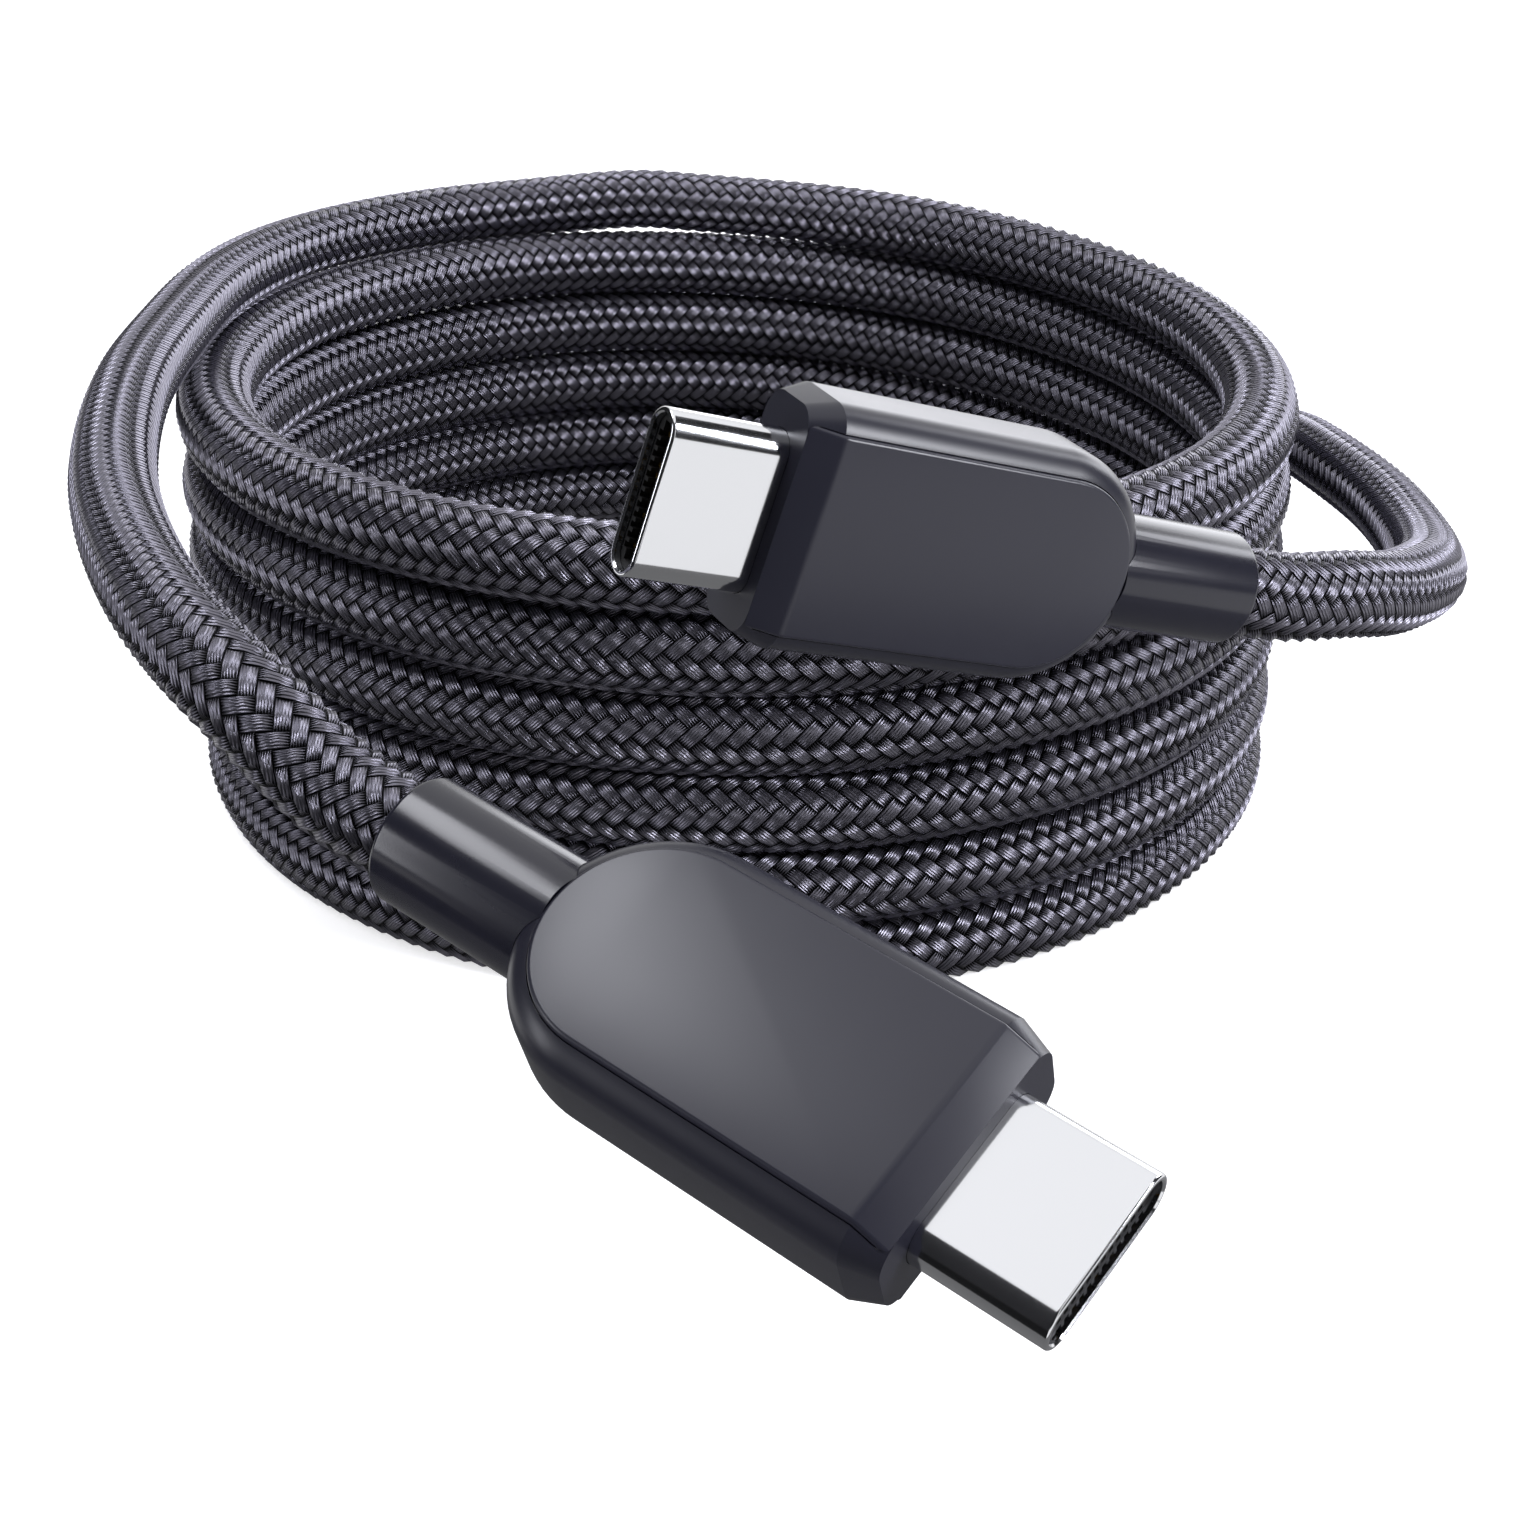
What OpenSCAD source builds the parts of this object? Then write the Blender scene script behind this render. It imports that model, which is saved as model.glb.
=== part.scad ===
// Charging cable: a braided cable wound as an upright coil, with a moulded plug on each end.
// Millimetres, +Z up. The origin is on the surface that the coil stands on, under the
// middle of the whole part. Each plug is drawn in its own frame first: its nose face lies at
// x = 0, +X runs out of the nose, Y across the plug and Z through its two flat covers.

/* [Cable] */
// Outside diameter of the braided cable
cable_d = 4.75; // [4.2:0.05:4.8]
// Diameter of the inner jacket, where the braid is stripped inside a plug
jacket_d = 3.6; // [3:0.1:3.8]
// Diameter of one insulated conductor
wire_d = 0.9; // [0.6:0.1:1]
// Distance between neighbouring conductors
wire_pitch = 1.05; // [1.02:0.01:1.1]

/* [Coil] */
// Half width of the coil, from its axis to the cable's centreline, left to right
coil_rx = 37.5; // [34:0.5:40]
// Half depth of the coil, from its axis to the cable's centreline, front to back
coil_ry = 39.4; // [36:0.2:42]
// Height that one turn climbs
coil_pitch = 5.2; // [5.2:0.05:6]
// Depth that the lowest turn is cut flat where it stands
coil_flat = 0.475; // [0.3:0.025:0.5]

/* [Connector] */
// Outside width of the plug's steel shell
shell_w = 8.25; // [8:0.05:8.4]
// Outside height of the plug's steel shell
shell_h = 2.4; // [2.35:0.05:2.5]
// Sheet thickness of the steel shell
shell_wall = 0.3; // [0.25:0.05:0.35]
// Length of the shell that stands out of the nose
shell_out = 6.25; // [6:0.05:6.65]
// Length of the shell inside the housing
shell_in = 5.9; // [5:0.1:6]
// Depth of the insulator's face behind the shell's lip
lip_depth = 0.4; // [0.3:0.05:0.6]
// Width of the slot that takes the socket's tongue
slot_w = 6.8; // [6.7:0.05:6.9]
// Height of the slot that takes the socket's tongue
slot_h = 0.84; // [0.75:0.01:0.9]
// Distance between neighbouring contacts
contact_pitch = 0.5; // [0.5:0.01:0.52]
// Width of one contact
contact_w = 0.22; // [0.18:0.02:0.26]
// Sheet thickness of the contacts
contact_t = 0.12; // [0.1:0.01:0.14]
// Sheet thickness of the latch plate
latch_t = 0.16; // [0.12:0.02:0.2]

/* [Housing] */
// Width of the flat cover
cover_w = 10.1; // [9.8:0.1:10.4]
// Length from the nose to the round rear edge of the cover
cover_len = 20.5; // [19:0.5:23]
// Thickness of the plug across its two covers
plug_t = 6.07; // [5.9:0.01:6.3]
// Step from the cover down to the side frame
cover_step = 0.18; // [0.1:0.02:0.26]
// Length of the bevel round the nose
bevel_len = 1.55; // [1.2:0.05:2]
// Thickness of each cover, which is also the drop of the nose bevel
cover_t = 0.93; // [0.8:0.01:1.1]
// Width of the flat land on the side frame beside the cover
land_w = 0.15; // [0.1:0.05:0.25]
// How far the rounded side stands out past the land
side_bulge = 1; // [0.8:0.1:1.2]
// Radius of the rounded side's corners
side_r = 1.6; // [1.4:0.1:1.8]
// How far the side draws in at the nose
nose_draw = 0.5; // [0.3:0.1:0.7]
// Width of the ledge that the covers sit on
ledge_w = 0.35; // [0.3:0.05:0.45]
// Thickness of the front wall, which the steel shell passes through
front_wall = 1.2; // [1:0.1:1.5]
// Thickness of the rear wall, which the strain relief passes through
rear_wall = 1.9; // [1.6:0.1:2.1]

/* [Strain relief] */
// Outside diameter of the strain relief
relief_d = 6.08; // [5.9:0.02:6.3]
// Length of the strain relief past the cover's round rear edge
relief_len = 9.1; // [8:0.1:11]
// Radius of the rounded edge at the relief's end
relief_edge = 0.3; // [0.2:0.05:0.4]
// Diameter of the neck in the rear wall
neck_d = 5; // [4.8:0.1:5.2]
// Width of the flange that holds the relief inside the housing
flange_w = 6.6; // [6:0.2:6.8]
// Thickness of the flange
flange_t = 1.1; // [0.9:0.1:1.3]
// Length of the crimp ring on the jacket
crimp_len = 2; // [1.6:0.1:2]

/* [Electronics] */
// Thickness of the circuit board
board_t = 0.6; // [0.5:0.05:0.7]
// Width of the circuit board
board_w = 8.2; // [7.8:0.1:8.3]
// Length of the circuit board
board_len = 8.4; // [8:0.1:8.6]
// Length of each contact's tail on the board
tail_len = 1.6; // [1.2:0.1:2]
// Edge length of the square controller chip
chip_w = 2.5; // [2:0.1:3]
// Height of the controller chip
chip_h = 0.75; // [0.5:0.05:0.9]
// Sheet thickness of the metal can round the board
can_wall = 0.2; // [0.15:0.05:0.2]
// Outside width of the metal can
can_w = 8.8; // [8.7:0.05:8.9]
// Outside height of the metal can
can_h = 3.8; // [3.7:0.05:3.9]
// Length of the metal can
can_len = 12; // [11.8:0.1:12.2]
// Length of each conductor on its pad
wire_lap = 1.4; // [1:0.1:1.8]

/* [Hidden] */
$fn = 48;

// Clearances: slip is between pieces pushed together, seam is the line round a cover,
// rim is the air round a contact, spring or latch arm.
slip = 0.02;
seam = 0.04;
rim = 0.04;
cut = 1; // how far a cutting solid runs past the face that it opens

// Where the part stands: the coil's axis, measured from the middle of the whole part
coil_at = [-3.2, 27.12, 0];

// The plugs' nose faces and turns, measured from the coil's axis at the surface
front_at = [10.5, -95, 24.8];
front_turn = [26.8, 9.9, -36.9];
rear_at = [1.8, -64.1, 40.5];
rear_turn = [-94, -17.2, -151.3];

// The cable's free stretches, measured from the coil's axis at the surface: the front run
// from the front plug round to the top turn, the rear run from the rear plug to the lowest
front_route = [
  [-21, -71.5, 33.5], [-25.5, -65.5, 34.5], [-30, -56, 34.5], [-34.5, -42.5, 34],
  [-37.5, -26.5, 34], [-39, -9.5, 33], [-39, 7.5, 32.4], [-35.5, 21.5, 31.8],
  [-28, 31.5, 31.6], [-18, 37.5, 31.6]
];
rear_route = [
  [34.5, -45.5, 29.5], [38, -41.5, 28], [41.5, -35.5, 26.5], [44, -28, 24.5],
  [45.5, -19.5, 23], [45.5, -10, 22.5], [44, 0, 22], [43, 10, 20.5], [40, 19.5, 18],
  [35, 27, 15], [28.5, 34.5, 12], [20, 40.5, 9], [10.5, 44, 6.5], [0, 45, 4.5],
  [-11, 43, 3], [-20.5, 38, 2.4], [-27.5, 31.5, 2.4]
];

// ---- Sizes worked out from the ones above ----
cable_r = cable_d / 2;
cover_r = cover_w / 2;
rear_x = cover_r - cover_len;           // centre of the round rear
frame_hw = cover_r + land_w + side_bulge;
frame_hh = plug_t / 2 - cover_step;
frame_rear = rear_x - frame_hw;         // where the round rear meets the plug's axis
ledge_z = plug_t / 2 - cover_t;         // height of the ledge under each cover
pocket_r = cover_r - ledge_w;           // half width of the hollow between the covers
pocket_front = -front_wall;
pocket_rear = rear_wall - cover_len;
flange_x = pocket_rear + flange_t;
tail_end = flange_x + crimp_len;        // where the jacket stops
relief_end = -cover_len - relief_len;
relief_lap = 0.5;                       // how far the neck runs into the relief's barrel
strip_x = frame_rear - relief_lap / 2;  // where the braid stops
shell_hh = shell_h / 2 - shell_wall;    // half height inside the steel shell
board_gap = 0.3;                        // from the steel shell to the board
board_front = -shell_in - board_gap;
board_rear = board_front - board_len;
can_rear = board_rear - 2 * board_gap;
can_front = can_rear + can_len;

// Contacts in use out of the twelve places of a row, counted from one edge
upper_places = [1, 4, 5, 6, 7, 9, 12];
lower_places = [1, 4, 5, 9, 12];
place_count = 12;

// ---- Plans and sections ----

// A long shape with round ends, w wide and h high
module stadium(w, h) {
  square([w - h, h], center = true);
  for (side = [-1, 1])
    translate([side * (w - h) / 2, 0]) circle(d = h);
}

// A rectangle with round corners
module round_rect(w, h, r) {
  square([w - 2 * r, h], center = true);
  square([w, h - 2 * r], center = true);
  for (a = [-1, 1], b = [-1, 1])
    translate([a * (w / 2 - r), b * (h / 2 - r)]) circle(r = r);
}

// A solid with a section in Y and Z that runs from x0 to x1
module along_x(x0, x1) {
  translate([x0, 0, 0]) rotate([90, 0, 90]) linear_extrude(x1 - x0) children();
}

// The D shape of a cover: straight from the nose, round at the rear
module d_plan(r, front, rear_cx) {
  translate([rear_cx, -r]) square([front - rear_cx, 2 * r]);
  translate([rear_cx, 0]) circle(r = r);
}

// ---- Housing ----

module frame_section() {
  round_rect(2 * frame_hw, 2 * frame_hh, side_r);
}

// The whole side frame before it is hollowed: straight sides, a round rear, a drawn nose
module frame_solid() {
  along_x(rear_x, -bevel_len) frame_section();
  translate([rear_x, 0, 0]) rotate_extrude() intersection() {
    frame_section();
    translate([0, -plug_t]) square([2 * frame_hw, 2 * plug_t]);
  }
  hull() {
    along_x(-bevel_len - slip, -bevel_len) frame_section();
    along_x(-slip, 0)
      round_rect(2 * (frame_hw - nose_draw), 2 * (ledge_z - slip), side_r - slip);
  }
}

module side_frame() {
  color("#5c5b64") difference() {
    frame_solid();
    // the seats of the two covers
    for (side = [-1, 1])
      translate([0, 0, side > 0 ? ledge_z : -ledge_z - plug_t])
        linear_extrude(plug_t) d_plan(cover_r + seam, cut, rear_x);
    // the hollow between them
    translate([0, 0, -plug_t]) linear_extrude(2 * plug_t) intersection() {
      d_plan(pocket_r, pocket_front, rear_x);
      translate([pocket_rear, -cover_w]) square([cover_len, 2 * cover_w]);
    }
    // the mouth for the steel shell and the bore for the neck
    along_x(pocket_front - cut, cut) stadium(shell_w + 2 * slip, shell_h + 2 * slip);
    along_x(frame_rear - cut, pocket_rear + cut) neck_section(slip);
  }
}

// One cover: a D plate with the nose bevel on its outer face
module cover(side) {
  color("#6a6973") mirror([0, 0, side > 0 ? 0 : 1]) intersection() {
    translate([0, 0, ledge_z]) linear_extrude(cover_t) d_plan(cover_r, 0, rear_x);
    rotate([90, 0, 0]) linear_extrude(2 * cover_w, center = true) polygon([
      [-2 * cover_len, ledge_z], [0, ledge_z],
      [-bevel_len, ledge_z + cover_t], [-2 * cover_len, ledge_z + cover_t]
    ]);
  }
}

module strain_relief() {
  color("#4d4c55") difference() {
    union() {
      // the barrel, cut to the round rear of the housing
      difference() {
        translate([relief_end, 0, 0]) rotate([0, 90, 0]) rotate_extrude() relief_profile();
        union() {
          translate([rear_x, 0, 0]) rotate_extrude() translate([0, -frame_hh - slip])
            round_half(frame_hw + slip, 2 * (frame_hh + slip), side_r);
          translate([0, 0, -plug_t]) linear_extrude(2 * plug_t)
            d_plan(cover_r + slip, cut, rear_x);
        }
      }
      along_x(frame_rear - relief_lap, flange_x) neck_section(0);
      along_x(pocket_rear + slip, flange_x)
        round_rect(flange_w, 2 * (ledge_z - slip), side_r);
    }
    along_x(relief_end - cut, strip_x) circle(d = cable_d + 2 * slip);
    along_x(strip_x - cut, flange_x + cut) circle(d = jacket_d + 2 * slip);
  }
}

// Section of the neck, round with two flats that pass under the covers
module neck_section(room) {
  intersection() {
    circle(d = neck_d + 2 * room);
    square([neck_d + 2 * room, 2 * (ledge_z - slip + room)], center = true);
  }
}

// Half of the relief's section: a straight barrel with a rounded rim
module relief_profile() {
  square([relief_d / 2 - relief_edge, cover_len]);
  translate([0, relief_edge]) square([relief_d / 2, cover_len - relief_edge]);
  translate([relief_d / 2 - relief_edge, relief_edge]) circle(r = relief_edge);
}

// Half of a rounded section, from the axis outwards and up from zero
module round_half(w, h, r) {
  square([w - r, h]);
  translate([0, r]) square([w, h - 2 * r]);
  for (y = [r, h - r]) translate([w - r, y]) circle(r = r);
}

module inner_mould() {
  color("#d9d6c8") difference() {
    along_x(can_rear, pocket_front - slip)
      square([2 * (pocket_r - slip), 2 * (ledge_z - slip)], center = true);
    along_x(can_rear - cut, can_front + slip)
      square([can_w + 2 * slip, can_h + 2 * slip], center = true);
    along_x(can_front - cut, cut) stadium(shell_w + 2 * slip, shell_h + 2 * slip);
  }
}

// ---- Connector ----

module plug_shell() {
  color("#d5d6da") difference() {
    along_x(-shell_in, shell_out) stadium(shell_w, shell_h);
    along_x(-shell_in - cut, shell_out + cut)
      stadium(shell_w - 2 * shell_wall, shell_h - 2 * shell_wall);
  }
}

slot_back = 0.2;             // bottom of the tongue's slot
beam_z = 0.52;               // height of a contact's underside in the insulator
contact_lift = 1.5 * rim;    // extra air over a contact, for its bend
groove_w = contact_w + 2 * rim;
groove_low = beam_z - rim;
groove_top = beam_z + contact_t + rim + contact_lift;
spring_t = 0.08;             // sheet thickness of a ground spring
spring_hw = 2.8;             // half width of a ground spring
spring_x0 = shell_out - 2.6; // rear edge of a ground spring
spring_x1 = shell_out - 0.8; // front edge of a ground spring
spring_root = 0.4;           // strip that joins the fingers of a ground spring
finger_pitch = 1.2;
finger_slit = 0.2;
latch_base_hw = 2.6;         // half width of the latch plate's tail
latch_rear = 0.3;            // from the latch plate's tail to the insulator's rear
latch_bar = 1;               // width of the bar that carries the arms
latch_tip = shell_out - 0.9; // where the latch arms end
arm_w = 0.25;                // width of a latch arm
arm_y = slot_w / 2 + rim;    // inner edge of a latch arm
hook_in = 0.3;               // how far a latch hook reaches into the slot
hook_lead = 0.4;             // length of a hook's slope at its tip
hook_flat = 0.3;             // length of a hook's crest
hook_root = 0.5;             // length of a hook's slope behind its crest

module insulator() {
  hw = shell_w - 2 * shell_wall - 2 * slip;
  latch_gap = latch_t + 2 * slip;
  color("#1b1b1e") difference() {
    along_x(-shell_in, shell_out - lip_depth) stadium(hw, 2 * (shell_hh - slip));
    // the tongue's slot
    along_x(slot_back, shell_out) square([slot_w, slot_h], center = true);
    // a groove for each contact: closed behind the slot, open to it along the slot
    for (side = [0, 1], i = [1:place_count]) mirror([0, 0, side])
      translate([0, place_y(i) - groove_w / 2, 0]) {
        translate([-shell_in - cut, 0, groove_low])
          cube([shell_in + shell_out + cut, groove_w, groove_top - groove_low]);
        translate([slot_back, 0, 0]) cube([shell_out, groove_w, groove_top]);
      }
    // the latch plate's tail and bar, and the windows of its two arms
    translate([-shell_in - cut, -latch_base_hw - rim, -latch_gap / 2])
      cube([shell_in + cut + slot_back, 2 * (latch_base_hw + rim), latch_gap]);
    translate([-latch_bar - rim, -shell_w / 2, -latch_gap / 2])
      cube([latch_tip + latch_bar + 2 * rim, arm_y + arm_w + rim, latch_gap]);
    translate([-latch_bar - rim, shell_w / 2 - arm_y - arm_w - rim, -latch_gap / 2])
      cube([latch_tip + latch_bar + 2 * rim, arm_y + arm_w + rim, latch_gap]);
    // the pockets of the ground springs
    for (side = [0, 1]) mirror([0, 0, side])
      translate([spring_x0 - rim, -spring_hw - rim, shell_hh - spring_t - slip])
        cube([spring_x1 - spring_x0 + 2 * rim, 2 * (spring_hw + rim), spring_t + slip]);
  }
}

function place_y(i) = (i - (place_count + 1) / 2) * contact_pitch;

// One contact, from its tail on the board to its curved tip in the slot
tip_z = 0.3;                     // height of the contact point above the slot's middle
tail_bend = board_front + 0.1;   // where the tail turns up to the beam
beam_back = board_front + 0.25;
beam_front = shell_out - 2.4;    // where the beam starts to come down to the tongue
point_back = shell_out - 1.5;
point_front = shell_out - 1.2;
contact_end = shell_out - 0.8;
contact_path = [
  [board_front - tail_len, board_t / 2], [tail_bend, board_t / 2], [beam_back, beam_z],
  [beam_front, beam_z], [point_back, tip_z], [point_front, tip_z], [contact_end, beam_z - rim]
];

module contact_row(places, side) {
  rise = [0, contact_t];
  profile = concat(contact_path,
                   [for (k = [len(contact_path) - 1:-1:0]) contact_path[k] + rise]);
  color("#c9a14a") mirror([0, 0, side > 0 ? 0 : 1])
    for (i = places) translate([0, place_y(i), 0])
      rotate([90, 0, 0]) linear_extrude(contact_w, center = true) polygon(profile);
}

module ground_springs() {
  len_x = spring_x1 - spring_x0;
  color("#b9babf") for (side = [0, 1]) mirror([0, 0, side])
    translate([0, 0, shell_hh - spring_t]) linear_extrude(spring_t) difference() {
      translate([spring_x0, -spring_hw]) square([len_x, 2 * spring_hw]);
      // the slits that free each spring finger
      for (k = [-1.5:1.5])
        translate([spring_x0 + spring_root, k * finger_pitch - finger_slit / 2])
          square([len_x, finger_slit]);
    }
}

// Half of the latch plate's outline: its tail, its bar and one arm with a hooked tip
latch_half = [
  [latch_rear - shell_in, latch_base_hw], [-latch_bar, latch_base_hw],
  [-latch_bar, arm_y + arm_w], [latch_tip, arm_y + arm_w], [latch_tip, arm_y + rim],
  [latch_tip - hook_lead, arm_y - hook_in], [latch_tip - hook_lead - hook_flat, arm_y - hook_in],
  [latch_tip - hook_lead - hook_flat - hook_root, arm_y], [0, arm_y]
];

module latch_plate() {
  other_half = [for (k = [len(latch_half) - 1:-1:0]) [latch_half[k][0], -latch_half[k][1]]];
  color("#a9aab0") linear_extrude(latch_t, center = true)
    polygon(concat(latch_half, other_half));
}

// ---- Electronics ----

module circuit_board() {
  color("#1f5a3a") translate([board_rear, -board_w / 2, -board_t / 2])
    cube([board_len, board_w, board_t]);
}

chip_gap = 0.5;                     // from the contacts' tails to the chip
chip_x = board_front - tail_len - chip_gap - chip_w;
cap_x = chip_x + 0.6;
cap_size = [1, 0.5, 0.5];
cap_upper_y = [-3, -2.1, 1.6, 2.5]; // the near edge of each small part on the board's top
cap_lower_y = [-2, 1.5];            // and under it

module board_chips() {
  color("#242428") {
    translate([chip_x, -chip_w / 2, board_t / 2]) cube([chip_w, chip_w, chip_h]);
    for (y = cap_upper_y) translate([cap_x, y, board_t / 2]) cube(cap_size);
    for (y = cap_lower_y) translate([cap_x, y, -board_t / 2 - cap_size[2]]) cube(cap_size);
  }
}

// Half of the can: a drawn tray, open at the rear, notched round the steel shell
module can_half(side) {
  color("#bfc0c6") mirror([0, 0, side > 0 ? 0 : 1]) difference() {
    along_x(can_rear, can_front) translate([-can_w / 2, 0]) square([can_w, can_h / 2]);
    along_x(can_rear - cut, can_front - can_wall)
      translate([-can_w / 2 + can_wall, -cut])
        square([can_w - 2 * can_wall, can_h / 2 - can_wall + cut]);
    along_x(can_front - cut, can_front + cut)
      stadium(shell_w + 2 * slip, shell_h + 2 * slip);
  }
}

module crimp_ring() {
  color("#b8a06a") difference() {
    along_x(flange_x + slip, tail_end) circle(r = ledge_z - slip);
    along_x(flange_x - cut, tail_end + cut) circle(d = jacket_d + 2 * slip);
  }
}

// The end of the cable inside the plug: braid as far as the rear wall, then the jacket
module cable_tail() {
  color("#2e2d33") {
    along_x(relief_end, strip_x - slip) circle(d = cable_d);
    along_x(strip_x - 2 * slip, tail_end) circle(d = jacket_d);
  }
}

wire_z = board_t / 2 + wire_d / 2;

module conductors() {
  for (k = [0:2])
    color(["#b22222", "#2f6fb3", "#222226"][k]) translate([0, (k - 1) * wire_pitch, wire_z])
      along_x(tail_end, board_rear + wire_lap) circle(d = wire_d);
  for (k = [0:1])
    color(["#2d8a4a", "#e8e6dc"][k]) translate([0, (k - 0.5) * wire_pitch, -wire_z])
      along_x(tail_end, board_rear + wire_lap) circle(d = wire_d);
}

// ---- Cable ----

function unit(v) = v / norm(v);
function ease(s) = s <= 0 ? 0 : s >= 1 ? 1 : (1 - cos(180 * s)) / 2;

// Turn angles run clockwise seen from above, from zero at the back. Each turn stays level
// round the front and comes down to the next one while it passes the back.
coil_end = 2090;        // angle at which the lowest turn leaves the coil
drop_start = -75;       // where the way down starts, from the back
drop_span = 200;        // angle that the way down takes
coil_drops = 6;
coil_step = 15;         // 24 rings a loop
coil_z0 = cable_r - coil_flat;

function coil_z(a) = coil_z0 + coil_pitch * (coil_drops - sumdrops(a, coil_drops - 1));
function sumdrops(a, k) = k < 0 ? 0
  : ease((a - 360 * k - drop_start) / drop_span) + sumdrops(a, k - 1);
function coil_point(a) = [coil_rx * sin(a), coil_ry * cos(a), coil_z(a)];
function coil_way(a) = unit(coil_point(a + 1) - coil_point(a - 1));

coil_turns = [for (a = [0:coil_step:coil_end]) coil_point(a)];
coil_last = coil_point(coil_end);
coil_path = concat([coil_point(0) - cable_d * coil_way(0)], coil_turns,
                   [coil_last, coil_last + cable_d * coil_way(coil_end)]);

// Turns a point of a plug's own frame into the coil's frame
function spin_x(p, a) = [p[0], p[1] * cos(a) - p[2] * sin(a), p[1] * sin(a) + p[2] * cos(a)];
function spin_y(p, a) = [p[0] * cos(a) + p[2] * sin(a), p[1], p[2] * cos(a) - p[0] * sin(a)];
function spin_z(p, a) = [p[0] * cos(a) - p[1] * sin(a), p[0] * sin(a) + p[1] * cos(a), p[2]];
function spin(p, turn) = spin_z(spin_y(spin_x(p, turn[0]), turn[1]), turn[2]);
function outlet(at, turn, out) = at + spin([relief_end - out, 0, 0], turn);

front_path = concat([outlet(front_at, front_turn, 0), outlet(front_at, front_turn, cable_d)],
                    front_route, [coil_path[0] - cable_d * coil_way(0), coil_path[0]]);
rear_path = concat([outlet(rear_at, rear_turn, 0), outlet(rear_at, rear_turn, cable_d)],
                   rear_route,
                   [coil_path[len(coil_path) - 1] + cable_d * coil_way(coil_end),
                    coil_path[len(coil_path) - 1]]);

// The way that a path runs at its point i; at an end it is the way of the last piece
function way(p, i) = i == 0 ? unit(p[1] - p[0])
  : i == len(p) - 1 ? unit(p[i] - p[i - 1]) : unit(unit(p[i + 1] - p[i]) + unit(p[i] - p[i - 1]));

// One ring of a tube: sides corners round point i, no lower than the surface
function ring(p, i, r, sides) =
  let (t = way(p, i), u = unit(cross(t, [0, 0, 1])), v = cross(u, t))
  [for (k = [0:sides - 1])
    let (q = p[i] + r * (cos(360 * k / sides) * u + sin(360 * k / sides) * v))
    [q[0], q[1], max(q[2], 0)]];
function rings(p, r, sides) = [for (i = [0:len(p) - 1]) each ring(p, i, r, sides)];

// A smooth line through hand-set points, with one more point in the middle of each gap.
// Its first and last gaps stay straight, so that the tube leaves them square.
function middle(a, b, c, d) = (9 * (b + c) - a - d) / 16;
function smooth(p) = concat([p[0]], [for (i = [1:len(p) - 3])
  each [p[i], middle(p[i - 1], p[i], p[i + 1], p[i + 2])]], [p[len(p) - 2], p[len(p) - 1]]);

module tube(path, r, sides) {
  last = len(path) - 1;
  polyhedron(rings(path, r, sides), concat(
    [for (k = [1:sides - 2]) [0, k + 1, k]],
    [for (i = [0:last - 1], k = [0:sides - 1]) let (m = (k + 1) % sides)
      each [[i * sides + k, (i + 1) * sides + m, (i + 1) * sides + k],
            [i * sides + k, i * sides + m, (i + 1) * sides + m]]],
    [for (k = [1:sides - 2]) [last * sides, last * sides + k, last * sides + k + 1]]
  ), convexity = 12);
}

// A tube whose flats stand as far apart as the cable is thick
function flats_r(sides) = cable_r / cos(180 / sides);

// The least gap between a turn and the one below it, measured from corner to corner
function least_gap(pts, sides, loop) =
  min([for (i = [1:len(pts) / sides - loop - 3], n = [loop - 1:loop + 1], k = [0:sides - 1],
            m = [0:sides - 1]) norm(pts[i * sides + k] - pts[(i + n) * sides + m])]);
coil_sides = 6;
echo(least_gap_of_coil_mm = least_gap(rings(coil_path, flats_r(coil_sides), coil_sides),
                                      coil_sides, 360 / coil_step));

module cable_coil() {
  color("#3a393f") translate(coil_at) tube(coil_path, flats_r(coil_sides), coil_sides);
}
module front_cable_run() {
  color("#3a393f") translate(coil_at) tube(smooth(front_path), cable_r, 8);
}
module rear_cable_run() {
  color("#3a393f") translate(coil_at) tube(smooth(rear_path), cable_r, 8);
}

module at_front() { translate(coil_at + front_at) rotate(front_turn) children(); }
module at_rear() { translate(coil_at + rear_at) rotate(rear_turn) children(); }

at_front() plug_shell();  // front_plug_shell
at_front() insulator();  // front_insulator
at_front() contact_row(upper_places, 1);  // front_upper_contacts
at_front() contact_row(lower_places, -1);  // front_lower_contacts
at_front() ground_springs();  // front_ground_springs
at_front() latch_plate();  // front_latch_plate
at_front() circuit_board();  // front_circuit_board
at_front() board_chips();  // front_board_chips
at_front() can_half(1);  // front_can_lid
at_front() can_half(-1);  // front_can_base
at_front() inner_mould();  // front_inner_mould
at_front() side_frame();  // front_side_frame
at_front() cover(1);  // front_top_cover
at_front() cover(-1);  // front_bottom_cover
at_front() strain_relief();  // front_strain_relief
at_front() crimp_ring();  // front_crimp_ring
at_front() cable_tail();  // front_cable_tail
at_front() conductors();  // front_conductors

at_rear() plug_shell();  // rear_plug_shell
at_rear() insulator();  // rear_insulator
at_rear() contact_row(upper_places, 1);  // rear_upper_contacts
at_rear() contact_row(lower_places, -1);  // rear_lower_contacts
at_rear() ground_springs();  // rear_ground_springs
at_rear() latch_plate();  // rear_latch_plate
at_rear() circuit_board();  // rear_circuit_board
at_rear() board_chips();  // rear_board_chips
at_rear() can_half(1);  // rear_can_lid
at_rear() can_half(-1);  // rear_can_base
at_rear() inner_mould();  // rear_inner_mould
at_rear() side_frame();  // rear_side_frame
at_rear() cover(1);  // rear_top_cover
at_rear() cover(-1);  // rear_bottom_cover
at_rear() strain_relief();  // rear_strain_relief
at_rear() crimp_ring();  // rear_crimp_ring
at_rear() cable_tail();  // rear_cable_tail
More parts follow.
